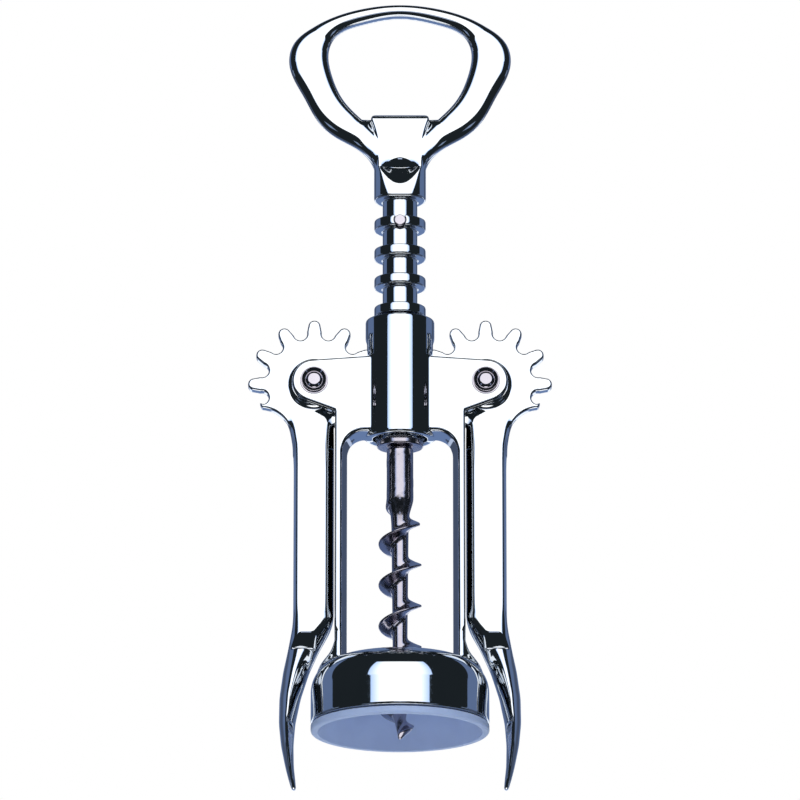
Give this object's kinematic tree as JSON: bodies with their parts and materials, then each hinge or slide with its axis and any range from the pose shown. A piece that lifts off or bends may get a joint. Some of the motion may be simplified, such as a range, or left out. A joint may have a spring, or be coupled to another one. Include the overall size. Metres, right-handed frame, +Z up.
{
  "type": "lever corkscrew",
  "caption": "Chromed wing corkscrew: geared levers, ringed rack, steel worm, open frame with a lined bell, and a bottle-opener loop.",
  "frame": {"origin": "centre of the bell's mouth, where it sits on the bottle, on the screw's axis", "axes": "+Z up the screw towards the handle, +X through the right lever's pivot, the front faces -Y"},
  "size_m": [0.0688, 0.04, 0.1842],
  "materials": {
    "chrome": "polished chrome plate",
    "worm_steel": "satin steel, slightly dark",
    "rivet_steel": "bright steel",
    "insert_plastic": "frosted translucent plastic"
  },
  "bodies": {
    "frame": {"frame": "chrome", "bell_insert": "insert_plastic", "pivot_rivet_left": "rivet_steel", "pivot_rivet_right": "rivet_steel"},
    "stop_washer": {"stop_washer": "worm_steel"},
    "handle": {"opener_handle": "chrome", "worm": "worm_steel", "worm_pin": "rivet_steel"},
    "lever_left": {"lever_left": "chrome"},
    "lever_right": {"lever_right": "chrome"}
  },
  "joints": [
    {"name": "screw_slide", "type": "slide", "parent": "frame", "child": "stop_washer", "axis": [0, 0, -1], "range_m": [0, 0.0341]},
    {"name": "handle_spin", "type": "hinge", "parent": "stop_washer", "child": "handle", "pos_m": [0, 0, 0.0667], "axis": [0, 0, 1], "continuous": true},
    {"name": "lever_left_swing", "type": "hinge", "parent": "frame", "child": "lever_left", "pos_m": [-0.0194, 0, 0.0806], "axis": [0, 1, 0], "range_deg": [0, 150]},
    {"name": "lever_right_swing", "type": "hinge", "parent": "frame", "child": "lever_right", "pos_m": [0.0194, 0, 0.0806], "axis": [0, -1, 0], "range_deg": [0, 150]}
  ],
  "couplings": [
    {"joint": "lever_left_swing", "follows": "screw_slide", "rad_per_m": 76.687},
    {"joint": "lever_right_swing", "follows": "screw_slide", "rad_per_m": 76.687}
  ]
}
